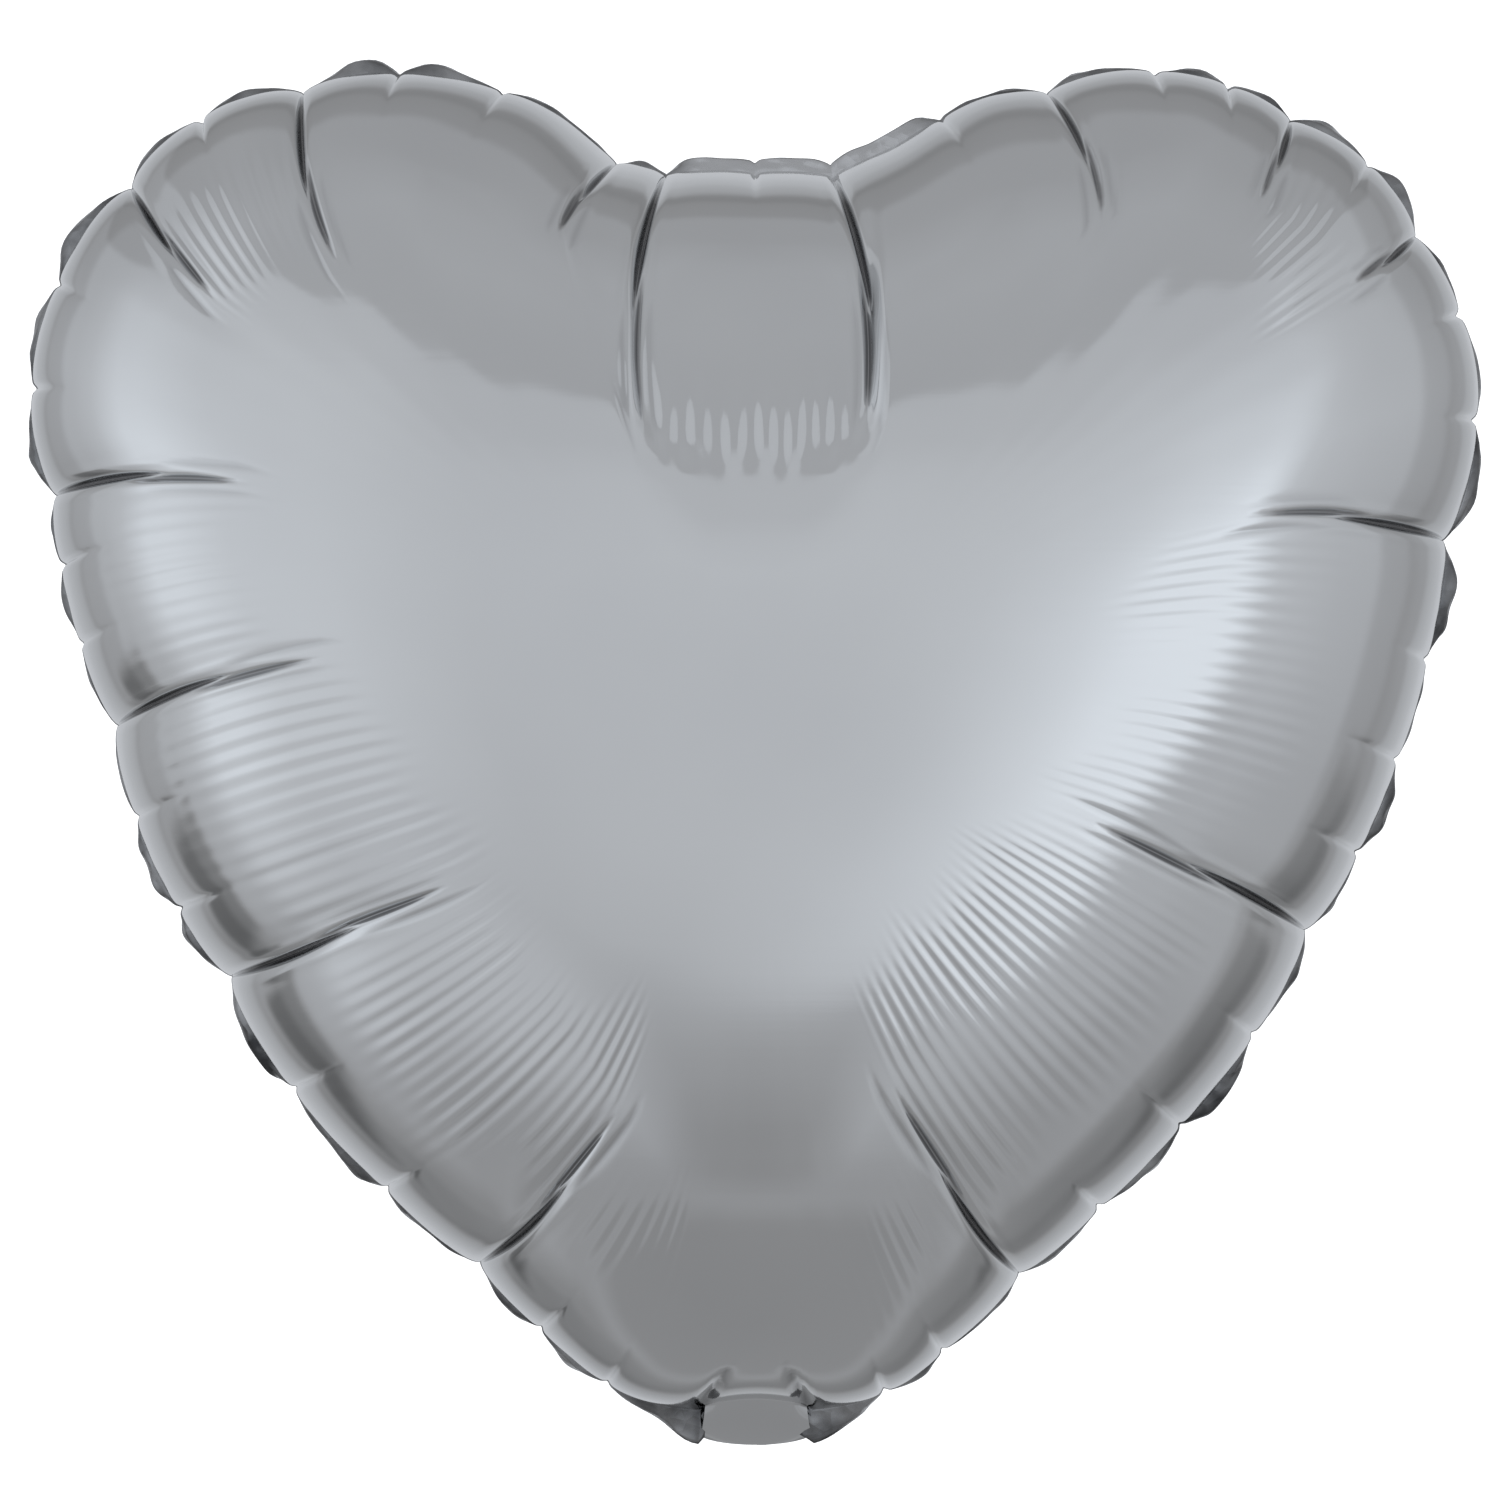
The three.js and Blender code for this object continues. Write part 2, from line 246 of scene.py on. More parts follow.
def crease_drift(places, inward):
    """How far along the seam the creases near each place have drifted, that far in from the seam."""
    creases = sorted((spot % SEAM_LENGTH, inner - spot, reach) for spot, inner, reach, _ in CREASES)
    spots, drifts, reaches = np.array(creases).T
    drift = np.interp(places, spots, drifts, period=SEAM_LENGTH)
    reach = np.interp(places, spots, reaches, period=SEAM_LENGTH)
    return drift[:, None] * np.clip(inward / reach[:, None], 0, 1.2)


def net_plan(places):
    """Plan of the net. Columns leave the seam square to it, follow the creases and bend to the crown."""
    t = ((np.arange(ROWS) / (ROWS - 1)) ** ROW_CROWDING)[None, :]
    inward = t * np.linalg.norm(CROWN - round_seam(SEAM, places), axis=1, keepdims=True)
    places = places[:, None] + crease_drift(places, inward)
    seam = round_seam(SEAM, places)
    to_crown = CROWN - seam
    reach = np.linalg.norm(to_crown, axis=-1, keepdims=True)
    square = inward_directions(smoothed(SEAM, 45))
    leads = unit(smoothed(0.75 * square + 0.25 * unit(CROWN - SEAM), 27))
    bend = seam + round_seam(leads, places) * reach * 0.42
    end = CROWN - to_crown * CORE
    t = t[..., None]
    return (1 - t) ** 2 * seam + 2 * t * (1 - t) * bend + t ** 2 * end


def net_normals(net):
    """Unit normals out of the front film."""
    along = np.roll(net, -1, axis=0) - np.roll(net, 1, axis=0)
    across = np.gradient(net, axis=1)
    return unit(np.cross(across, along))


# ---- Creases, pinches and ripples, as height along the film's normal ----
def leaf(inward, start, end):
    """From 0 at both ends of a stretch to 1 at its middle."""
    share = np.clip((inward - start) / (end - start), 0, 1)
    return np.sin(math.pi * share) ** 0.8


def crease(across, inward, reach, strength, rng):
    """A fold that starts at the seam, with a second, shallower leaf and a few thin lines further in.

    Gives its height and, at each point, its share of painted shade: its shut folds are darkened to stand in
    for the shade inside them."""
    sway, side = rng.uniform(-0.5, 0.5), rng.choice([-1, 1])
    across = across - sway * np.sin(inward / 8)
    fade = np.clip(1 - inward / reach, 0, 1) ** 1.2 * (1 - 0.45 * np.exp(-inward / 6))
    height = -3.6 * strength * fade * np.exp(-(np.abs(across) / 5.5) ** 0.85)
    fold_shade = np.zeros_like(height)
    # Start and end as shares of the reach, sideways shift, half width and depth in mm.
    stretches = [(0.0, 0.6, 0.0, 0.75, 2.6), (0.42, 0.98, 1.3, 0.95, 1.7), (0.6, 1.15, -2.6, 1.1, 0.4),
                 (0.5, 1.05, 4.2, 1.1, 0.3)]
    for start, end, shift, width, depth in stretches:
        open_share = leaf(inward, start * reach, end * reach)
        valley = np.exp(-((across - side * shift) / (width * (0.45 + 0.55 * open_share))) ** 2)
        height -= strength * depth * open_share * valley
        # Painted shade: how dark the closed leaf is painted, standing in for the shade inside it.
        leaf_shade = np.minimum(depth / 1.6, 1) * np.minimum(1.6 * open_share, 1) * valley ** 1.5
        fold_shade = np.maximum(fold_shade, leaf_shade)
    lips = np.exp(-((np.abs(across) - 2.8) / 1.2) ** 2)
    return height + 0.35 * strength * lips * leaf(inward, 0, 0.8 * reach), fold_shade


def pinch(across, inward, rng):
    """A short V-shaped notch across the rim."""
    depth, reach = rng.uniform(1.0, 1.8), rng.uniform(5, 9)
    fade = np.exp(-(inward / reach) ** 2)
    return -depth * fade * (0.5 * np.exp(-np.abs(across) / 2.4) + 0.5 * np.exp(-(across / 0.9) ** 2))


def throat_notch(across, inward):
    """The V-shaped fold at each side of the throat, where the rim's roll ends against the neck.

    Gives its height and, at each point, its share of painted shade: the shut fold is darkened to stand in
    for the shade inside it."""
    opened = np.clip(1 - inward / 13, 0, 1)
    valley = np.exp(-(across / (0.4 + 1.6 * opened)) ** 2)
    off_seam = 1 - np.exp(-inward / 1.2)
    height = -4.2 * opened * np.exp(-np.abs(across) / 2.6) - 1.5 * opened * valley
    return height * off_seam, opened ** 0.5 * valley


def pillows(places, inward, spots, amount, reach, rng):
    """The film's swell between neighbouring spots of the seam."""
    spots = np.sort(np.mod(spots, SEAM_LENGTH))
    after = np.searchsorted(spots, places) % len(spots)
    span = np.mod(spots[after] - spots[after - 1], SEAM_LENGTH)
    share = np.mod(places - spots[after - 1], SEAM_LENGTH) / span
    swell = amount * np.minimum(span / 60, 1) * rng.uniform(0.75, 1.25, len(spots))[after]
    arch = np.sin(math.pi * np.clip(share, 0, 1))[:, None] ** (0.6 + inward / reach)
    return swell[:, None] * arch * np.clip(1 - inward / reach / 1.6, 0, 1) ** 1.5


def smooth_step(share):
    share = np.clip(share, 0, 1)
    return share * share * (3 - 2 * share)


def window(value, low, high, soft_low, soft_high):
    """1 between low and high, with soft ends."""
    return smooth_step((value - low) / soft_low) * smooth_step((high - value) / soft_high)


def ripples(places, inward, rng):
    """Fine ripples that run in from the seam, uneven and with ragged ends."""
    drift = round_seam(seam_noise(rng, 60), places) * 2.2
    wave = np.sin(2 * math.pi * places / RIPPLE_LENGTH + drift)
    uneven = 1 + 0.45 * round_seam(seam_noise(rng, 16), places)
    height = np.zeros_like(inward)
    for first, last, near, far, amount in RIPPLES:
        middle, half = (first + last) / 2, (last - first) / 2
        along = window(gap_along(places, middle), -half, half, 8, 8)
        ragged = 7 * round_seam(seam_noise(rng, 22), places)[:, None]
        down = window(inward + ragged, near, far, 14, 16)
        height += amount * (wave * uneven * along)[:, None] * down
    return height


def cleft_fingers(plan, rng):
    """Straight upright ripples at the foot of the panel under the cleft."""
    x, z = plan[..., 0], plan[..., 1]
    bend = rng.uniform(0, 6.3)
    wave = np.sin(2 * math.pi * x / FINGER_LENGTH + 0.7 * np.sin(x / 7 + bend))
    ragged = 1.4 * np.sin(x / 2.3 + bend) - 0.008 * x ** 2
    sideways = window(x, FINGERS_LEFT, FINGERS_RIGHT, 4, 4)
    return FINGER_HEIGHT * wave * sideways * window(z + ragged, FINGERS_FOOT, FINGERS_HEAD, 7, 16)


def hat(share):
    """Section of a channel, 1 in its middle and 0 from its edges on."""
    return np.clip(1 - share ** 2, 0, 1) ** 0.38


def throat_opening(places):
    """Half height of the throat at the seam, where the heart opens into the neck."""
    return THROAT_RISE * hat(gap_along(places, SEAM_LENGTH / 2) / THROAT_HALF_WIDTH)


def cleft_panel(plan, inward):
    """How far the panel under the cleft is pulled back. Its soft sides widen downwards."""
    x, z = plan[..., 0], plan[..., 1]
    softness = PANEL_SOFTNESS + PANEL_FLARE * np.clip((FLARE_FROM - z) / FLARE_HEIGHT, 0, 1) ** 2
    under_cleft = window(x, PANEL_LEFT, PANEL_RIGHT, softness, softness) * (z > CROWN[1])
    return CLEFT_SAG * under_cleft * window(inward, 8, 108, 34, 54)


def add_folds(lift, places, inward, width, shared, own):
    """Adds the creases, pinches and folds beside the throat to the lift, and gives the shares of painted
    shade in their shut folds.
    """
    fold_shade = np.zeros_like(lift)
    for spot, _, reach, strength in CREASES:
        fold, one_fold_shade = crease(gap_along(places, spot)[:, None] * width, inward, reach, strength, own)
        lift += fold
        fold_shade = np.maximum(fold_shade, one_fold_shade)
    for spot in PINCHES:
        lift += pinch(gap_along(places, spot)[:, None] * width, inward, shared)
    for side_sign in (-1, 1):
        across = gap_along(places, SEAM_LENGTH / 2 + side_sign * THROAT_HALF_WIDTH)[:, None]
        fold, one_fold_shade = throat_notch(across + side_sign * 0.45 * inward, inward)
        lift += fold
        fold_shade = np.maximum(fold_shade, one_fold_shade)
    return fold_shade


def smooth_film(places):
    """The front film without its folds.

    Gives its plan, the points' distances from the seam, the throat's half height and the net."""
    plan = net_plan(places)
    steps = np.linalg.norm(np.diff(plan, axis=1), axis=-1)
    inward = np.concatenate([np.zeros((COLUMNS, 1)), np.cumsum(steps, axis=1)], axis=1)
    opening = throat_opening(places)[:, None]
    by_throat = opening * np.exp(-(inward / THROAT_FADE) ** 2)
    height = np.hypot(inflated_height(plan, swell_weights()), by_throat)
    return plan, inward, opening, np.stack([plan[..., 0], -height, plan[..., 1]], axis=-1)


def film_net(side):
    """Seam places, points and shares of painted shade in the shut folds of one film: side -1 is the front,
    1 the back.

    Both films have the same row of points on the seam."""
    places = column_places()
    plan, inward, opening, net = smooth_film(places)
    normals = net_normals(net)
    spacing = np.linalg.norm(np.roll(plan, -1, axis=0) - plan, axis=-1)
    width = smoothed(spacing / spacing[:, :1], 2)

    shared = np.random.default_rng(11)
    own = np.random.default_rng(20 + side)
    spots = np.array([spot for spot, *_ in CREASES])
    lift = pillows(places, inward, spots, PILLOW_SWELL, PILLOW_REACH, shared)
    lift += pillows(places, inward, np.concatenate([spots, PINCHES]), PUFF_SWELL, PUFF_REACH, shared)
    fold_shade = add_folds(lift, places, inward, width, shared, own)
    lift += ripples(places, inward, own) + cleft_fingers(plan, own)
    lift -= cleft_panel(plan, inward)
    let_out = RIM_LET_OUT * (1 - window(gap_along(places, 0), -58, 52, 22, 22))[:, None]
    lift = np.maximum(lift + let_out * np.exp(-inward / 10), DEEPEST_FOLD)
    lift *= 1 - opening / THROAT_RISE * np.exp(-inward / 6)
    net += normals * lift[..., None]
    net[:, 0, 1] = -opening[:, 0]
    net[:, 1:, 1] = np.minimum(net[:, 1:, 1], -LEAST_HEIGHT)
    if side > 0:
        net[..., 1] *= -1
    return places, net, fold_shade


# ---- Meshes ----
def mesh_object(name, points, faces):
    mesh = bpy.data.meshes.new(name)
    mesh.from_pydata((np.asarray(points) * MM).tolist(), [], faces)
    mesh.polygons.foreach_set("use_smooth", [True] * len(mesh.polygons))
    mesh.update()
    obj = bpy.data.objects.new(name, mesh)
    bpy.context.scene.collection.objects.link(obj)
    return obj


def grid_quads(index, flip=False):
    """Quads of a grid of point numbers, turned over if flip."""
    corners = [index[:-1, :-1], index[1:, :-1], index[1:, 1:], index[:-1, 1:]]
    quads = np.stack(corners, axis=-1).reshape(-1, 4)
    return quads[:, ::-1] if flip else quads


def film_object(name, side):
    """One heart film. The front one runs on over the fold line, as the throat's outside."""
    places, net, fold_shade = film_net(side)
    index = np.arange(COLUMNS * ROWS).reshape(COLUMNS, ROWS)
    index = np.vstack([index, index[:1]])
    centre = COLUMNS * ROWS
    crown = [CROWN[0], net[:, -1, 1].mean(), CROWN[1]]
    points = [net.reshape(-1, 3), [crown]]
    front = side < 0
    faces = grid_quads(index, flip=front).tolist()
    fan = np.stack([index[:-1, -1], np.full(COLUMNS, centre), index[1:, -1]], axis=-1)
    faces += (fan if front else fan[:, ::-1]).tolist()
    if front:
        tongue_columns = np.flatnonzero(np.abs(gap_along(places, SEAM_LENGTH / 2)) < THROAT_HALF_WIDTH)
        tongue = throat_sheet(net[tongue_columns, 0])
        extra = centre + 1 + np.arange(tongue[:, 1:, 0].size).reshape(len(tongue_columns), -1)
        points.append(tongue[:, 1:].reshape(-1, 3))
        faces += grid_quads(np.hstack([index[tongue_columns, :1], extra])).tolist()
    obj = mesh_object(name, np.vstack(points), faces)
    # Painted shade of the folds, which the foil material darkens by; 0 on the tongue and the crown.
    shares = np.zeros(len(obj.data.vertices))
    shares[:centre] = fold_shade.ravel()
    obj.data.attributes.new("painted_fold_shade", "FLOAT", "POINT").data.foreach_set("value", shares)
    return obj


def throat_path(share, top):
    """The throat's middle surface in (y, z), from the heart down and back to the neck, and its normal."""
    share, top = np.broadcast_arrays(share, top)
    middle = np.stack([NECK_START * share ** 2, top * (1 - share) ** 2], axis=-1)
    return middle, unit(np.stack([-top * (1 - share), -NECK_START * share], axis=-1))


def throat_sheet(edge):
    """From a row of points at the heart's throat down and back to the start of the neck's outer film."""
    share = np.linspace(0, 1, 21)[None, :]
    opened = -edge[:, 1:2]
    foot = -NECK_RISE * opened / THROAT_RISE
    y = -opened * (1 - share) ** 2 - 0.1 * opened * 2 * share * (1 - share) + NECK_START * share ** 2
    z = edge[:, 2:] * (1 - share) ** 2 + foot * (0.12 * 2 * share * (1 - share) + share ** 2)
    x = edge[:, :1] * (1 + (NECK_CHANNEL / THROAT_HALF_WIDTH - 1) * share)
    return np.stack([x, y, z], axis=-1)


def shell_object(name, points, thickness):
    """A closed sheet of the given thickness round a grid of points on its middle surface."""
    normals = unit(np.cross(np.gradient(points, axis=0), np.gradient(points, axis=1)))
    columns, rows = points.shape[:2]
    top = np.arange(columns * rows).reshape(columns, rows)
    bottom = top + columns * rows
    rim = np.concatenate([top[:-1, 0], top[-1, :-1], top[:0:-1, -1], top[0, :0:-1]])
    onward = np.roll(rim, -1)
    sides = np.stack([rim, rim + columns * rows, onward + columns * rows, onward], axis=-1)
    both = np.concatenate([points + normals * thickness / 2, points - normals * thickness / 2])
    faces = np.vstack([grid_quads(top), grid_quads(bottom, flip=True), sides])
    return mesh_object(name, both.reshape(-1, 3), faces.tolist())


def crinkle(first, second, size, rng):
    """Gentle random waves over two coordinates in mm, about from -1 to 1, of about that size."""
    total = 0
    for turn in rng.uniform(0, math.pi, 5):
        wave = 2 * math.pi / size * rng.uniform(0.6, 1.5)
        distance = first * math.cos(turn) + second * math.sin(turn)
        total = total + np.sin(wave * distance + rng.uniform(0, 6.3))
    return total / 3


# ---- The welded edge ----
def flange_tilt(places, under_cleft, by_throat, rng):
    """Angle, in radians, by which the welded edge leans back from the seam's plane at each place."""
    spots = PINCHES + [spot for spot, *_ in CREASES]
    pinned = sum(np.exp(-(gap_along(places, spot) / 5) ** 2) for spot in spots)
    lean = 66 + 24 * round_seam(seam_noise(rng, 30), places) + 8 * round_seam(seam_noise(rng, 12), places)
    lean = lean * (1 - 0.55 * under_cleft) + 45 * np.minimum(pinned, 1) * (1 - under_cleft)
    return np.radians(np.clip(lean, 20, 110) * (1 - by_throat) + 12 * by_throat)


def edge_flange():
    """The welded edge outside the seam: flat between the pinches, tucked back at them, and crinkled."""
    rng = np.random.default_rng(5)
    places, net, _ = film_net(-1)
    from_throat = np.abs(gap_along(places, SEAM_LENGTH / 2))
    outside = np.flatnonzero(from_throat > THROAT_HALF_WIDTH - THROAT_OVERLAP)
    start = np.flatnonzero(np.diff(outside) > 1)[0] + 1
    order = np.concatenate([outside[start:], outside[:start]])
    seam, places = net[order, 0], places[order]
    under_cleft = window(gap_along(places, 0), -26, 60, 12, 25)
    by_throat = np.exp(-((from_throat[order] - THROAT_HALF_WIDTH) / 12) ** 2)
    out = -round_seam(inward_directions(smoothed(SEAM, 12)), places)
    out = unit(out + 0.8 * by_throat[:, None] * np.array([[0.0, -1.0]]))
    tilt = flange_tilt(places, under_cleft, by_throat, rng)
    across = np.linspace(-0.4, SEAL_WIDTH, 9)[None, :]
    wave = 0.35 * crinkle(places[:, None], across * 2, 9, rng) * across / SEAL_WIDTH
    curl = tilt[:, None] * (0.55 + 0.45 * across / SEAL_WIDTH)
    across = across * (1 + 0.85 * by_throat - 0.2 * under_cleft)[:, None]
    forward = across * np.cos(curl) - wave * np.sin(curl)
    sideways = across * np.sin(curl) + wave * np.cos(curl)
    points = np.empty((len(order), across.shape[1], 3))
    points[..., 0] = seam[:, :1] + out[:, :1] * forward
    points[..., 1] = sideways
    points[..., 2] = seam[:, 2:] + out[:, 1:] * forward
    obj = shell_object("edge_flange", points, FILM_SHOWN)
    # Painted reflection: where the welded edge lies flat under the cleft, its colour is made lighter.
    flat_sheen = np.tile(np.repeat(under_cleft, across.shape[1]), 2)
    obj.data.attributes.new("flat_painted_sheen", "FLOAT", "POINT").data.foreach_set("value", flat_sheen)
    return obj


# ---- Throat, neck and valve: flat sleeves of two sheets with an open channel between them ----
def sleeve_sheet(side, half_width, channel, rise, base, low, high, rng, notch=0.0, gather=0.0):
    """Points (x, out, along) of one sheet of a sleeve, narrower by the gather at its near end.

    A notch is a half round cut out of its far end."""
    x = np.linspace(-half_width, half_width, 49)[:, None]
    end = high - np.sqrt(np.clip(notch ** 2 - x ** 2, 0, None))
    along = low + (end - low) * np.linspace(0, 1, 57)[None, :]
    gathered = np.exp(-(along - low) / 9)
    out = base + rise * hat(x / channel) * (0.86 + 0.14 * gathered)
    wrinkle = crinkle(x * 1.6, along / 5, 9, rng) * (0.10 + 0.16 * gathered)
    out = out + wrinkle * hat(x / channel) ** 0.5
    drawn_in = 1 - gather * np.exp(-((along - low) / 7) ** 2)
    return np.stack(np.broadcast_arrays(x * drawn_in, side * out, along), axis=-1)


def in_neck(points):
    """The neck is folded straight back: its length runs along +Y and its front sheet faces down."""
    return points[..., [0, 2, 1]]


def neck_seal(side):
    """The neck's side seal, which starts beside the throat and follows it over the fold line."""
    rng = np.random.default_rng(40 + side)
    share = np.linspace(0, 1, 22)
    middle, normal = throat_path(share, np.full(22, THROAT_TOP - 0.5))
    straight = np.linspace(NECK_START, NECK_END, 80)[1:]
    path = np.vstack([middle, np.stack([straight, 0 * straight], axis=-1)])
    normal = np.vstack([normal, np.tile([0.0, -1.0], (len(straight), 1))])
    start = np.concatenate([THROAT_HALF_WIDTH + 1.7 * share, np.full(len(straight), NECK_CHANNEL + 0.2)])
    across = np.linspace(0, NECK_HALF_WIDTH - NECK_CHANNEL + 0.3, 8)[None, :]
    wave = 0.3 * crinkle(np.arange(len(path))[:, None] * 0.8, across, 6, rng) * across / SEAL_WIDTH
    at_throat = np.exp(-(np.arange(len(path)) / 10) ** 2)[:, None]
    wave = wave * (1 + 5 * at_throat)
    points = np.empty((len(path), across.shape[1], 3))
    gathered = 1 - NECK_GATHER * np.exp(-((path[:, :1] - NECK_START) / 7) ** 2)
    points[..., 0] = side * (start[:, None] + across * (1 - 0.5 * at_throat)) * gathered
    points[..., 1] = path[:, :1] + normal[:, :1] * wave
    points[..., 2] = path[:, 1:] + normal[:, 1:] * wave
    return points


def throat_lining():
    """The inner side of the fold: the back film's pleat between the heart and the neck's back film."""
    x = np.linspace(-1, 1, 33)[:, None]
    share = np.linspace(0, 1, 25)[None, :]
    rise = hat(x)
    reach = np.abs(2 * share - 1)
    top_y, top_z = THROAT_RISE * 0.98 * rise, THROAT_TOP - 0.3
    end_y, end_z = NECK_START, NECK_RISE * 0.98 * rise
    fold = 0.9
    first = share < 0.5
    y = np.where(first, fold + (top_y - fold) * reach, fold + (end_y - fold) * reach)
    z = np.where(first, fold + (top_z - fold) * reach, fold + (end_z - fold) * reach)
    half_width = THROAT_HALF_WIDTH + (NECK_CHANNEL - THROAT_HALF_WIDTH) * share
    return np.stack(np.broadcast_arrays(x * half_width * 0.995, y, z), axis=-1)


# ---- Materials ----
def new_material(name, **values):
    """A material with these values on its shader's sockets. Underscores stand for spaces in their names."""
    material = bpy.data.materials.new(name)
    material.use_nodes = True
    shader = material.node_tree.nodes["Principled BSDF"]
    for socket, value in values.items():
        shader.inputs[socket.replace("_", " ")].default_value = value
    return material, material.node_tree, shader


def noise(tree, scale, stretch=(1, 1, 1), detail=2.0):
    """Noise over the object, in features per metre, finer along the stretched axes."""
    coords = tree.nodes.new("ShaderNodeTexCoord")
    mapping = tree.nodes.new("ShaderNodeMapping")
    mapping.inputs["Scale"].default_value = stretch
    texture = tree.nodes.new("ShaderNodeTexNoise")
    texture.inputs["Scale"].default_value = scale
    texture.inputs["Detail"].default_value = detail
    tree.links.new(coords.outputs["Object"], mapping.inputs["Vector"])
    tree.links.new(mapping.outputs["Vector"], texture.inputs["Vector"])
    return texture.outputs["Fac"]


def creased_cells(tree, scale):
    """Cells with sharp ridges between them, as in crumpled foil."""
    coords = tree.nodes.new("ShaderNodeTexCoord")
    texture = tree.nodes.new("ShaderNodeTexVoronoi")
    texture.feature = "F1"
    texture.inputs["Scale"].default_value = scale
    tree.links.new(coords.outputs["Object"], texture.inputs["Vector"])
    return texture.outputs["Distance"]


def spread(tree, value, low, high):
    """Maps the middle part of a noise to low..high."""
    node = tree.nodes.new("ShaderNodeMapRange")
    node.inputs["From Min"].default_value = 0.3
    node.inputs["From Max"].default_value = 0.7
    node.inputs["To Min"].default_value = low
    node.inputs["To Max"].default_value = high
    tree.links.new(value, node.inputs["Value"])
    return node.outputs["Result"]


def two_colours(tree, value, first, second):
    node = tree.nodes.new("ShaderNodeValToRGB")
    for element, position, colour in zip(node.color_ramp.elements, (0.35, 0.65), (first, second)):
        element.position = position
        element.color = (*colour, 1)
    tree.links.new(value, node.inputs["Fac"])
    return node.outputs["Color"]


def add_bumps(tree, shader, layers):
    """Stacks bumps on the shader's normal: (height, distance in metres, strength)."""
    below = None
    for height, distance, strength in layers:
        node = tree.nodes.new("ShaderNodeBump")
        node.inputs["Distance"].default_value = distance
        node.inputs["Strength"].default_value = strength
        tree.links.new(height, node.inputs["Height"])
        if below:
            tree.links.new(below, node.inputs["Normal"])
        below = node.outputs["Normal"]
    tree.links.new(below, shader.inputs["Normal"])


def by_attribute(tree, name, usual, marked):
    """The usual colour, turning to the marked one where the points' attribute is 1."""
    attribute = tree.nodes.new("ShaderNodeAttribute")
    attribute.attribute_name = name
    mix = tree.nodes.new("ShaderNodeMix")
    mix.data_type = "RGBA"
    mix.inputs["B"].default_value = (*marked, 1)
    tree.links.new(attribute.outputs["Fac"], mix.inputs["Factor"])
    tree.links.new(usual, mix.inputs["A"])
    return mix.outputs["Result"]


def foil_material():
    """Satin silver film: faint streaks along its roll, fine grain, slight mottling, and painted shade that
    darkens its shut folds.
    """
    material, tree, shader = new_material("silver_foil", Metallic=1.0)
    mottle = noise(tree, 14, detail=3)
    colour = two_colours(tree, mottle, (0.715, 0.725, 0.735), (0.74, 0.75, 0.758))
    # Painted shade: the shut folds get a dark colour that stands in for the shade inside them.
    colour = by_attribute(tree, "painted_fold_shade", colour, (0.26, 0.26, 0.265))
    tree.links.new(colour, shader.inputs["Base Color"])
    streaks = noise(tree, 1.0, stretch=(5, 5, 420), detail=3)
    tree.links.new(spread(tree, streaks, 0.075, 0.115), shader.inputs["Roughness"])
    grain = noise(tree, 1600, detail=1)
    add_bumps(tree, shader, [(streaks, 0.00001, 1.0), (grain, 0.000002, 1.0)])
    return material


def seal_material():
    """Heat-sealed foil: duller and crumpled into small facets. Its near-black to grey colour is painted
    shade and dark reflection in the crumples, and it is painted lighter where it lies flat, a painted
    reflection.
    """
    material, tree, shader = new_material("sealed_foil", Metallic=1.0)
    # Painted shade: dark colours for the shade and dark reflections of the crumpled seal.
    seal_shade_colour = two_colours(tree, noise(tree, 55, detail=4), (0.06, 0.062, 0.066), (0.42, 0.425, 0.435))
    # Painted reflection: lighter where the welded edge lies flat under the cleft.
    colour = by_attribute(tree, "flat_painted_sheen", seal_shade_colour, (0.62, 0.625, 0.635))
    tree.links.new(colour, shader.inputs["Base Color"])
    tree.links.new(spread(tree, noise(tree, 500), 0.16, 0.34), shader.inputs["Roughness"])
    add_bumps(tree, shader, [(creased_cells(tree, 240), 0.0009, 0.5), (noise(tree, 1400), 0.00003, 0.6)])
    return material


def valve_film_material():
    """Clear, slightly milky film with fine drawing lines."""
    material, tree, shader = new_material("clear_valve_film", IOR=1.48, Transmission_Weight=0.8)
    cloud = noise(tree, 90, detail=2)
    colour = two_colours(tree, cloud, (0.84, 0.87, 0.89), (0.92, 0.94, 0.95))
    tree.links.new(colour, shader.inputs["Base Color"])
    lines = noise(tree, 1.0, stretch=(1500, 60, 60), detail=2)
    tree.links.new(spread(tree, lines, 0.1, 0.24), shader.inputs["Roughness"])
    add_bumps(tree, shader, [(lines, 0.00002, 0.8)])
    return material


def valve_coat_material():
    """Matt blue heat-resistant print, slightly uneven, with a fine speckle."""
    material, tree, shader = new_material("blue_release_coat", Metallic=0.0)
    cloud = noise(tree, 420, detail=4)
    colour = two_colours(tree, cloud, (0.24, 0.37, 0.6), (0.36, 0.5, 0.72))
    tree.links.new(colour, shader.inputs["Base Color"])
    tree.links.new(spread(tree, cloud, 0.62, 0.82), shader.inputs["Roughness"])
    add_bumps(tree, shader, [(noise(tree, 2500, detail=1), 0.00003, 0.8)])
    return material


MATERIALS = {
    "foil": foil_material(), "foil_seal": seal_material(),
    "valve_film": valve_film_material(), "valve_coat": valve_coat_material(),
}


# ---- Pieces ----
def finish_piece(obj, slot, *nodes):
    if nodes:
        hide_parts(*nodes)
    obj.data.materials.append(MATERIALS[slot])


def rides(obj, body, slot, *nodes):
    finish_piece(obj, slot, *nodes)
    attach(obj, body)


def bends(obj, slot, start, end, *nodes):
    """A piece that crosses the fold line: start and end, in mm as y and z, are not used."""
    finish_piece(obj, slot, *nodes)
    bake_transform(obj)


def make_heart():
    bends(film_object("front_skin", -1), "foil", (0, THROAT_TOP), (NECK_START, 0), "front_film")
    rides(film_object("back_skin", 1), "balloon", "foil", "back_film")
    rides(edge_flange(), "balloon", "foil_seal", "edge_seal")


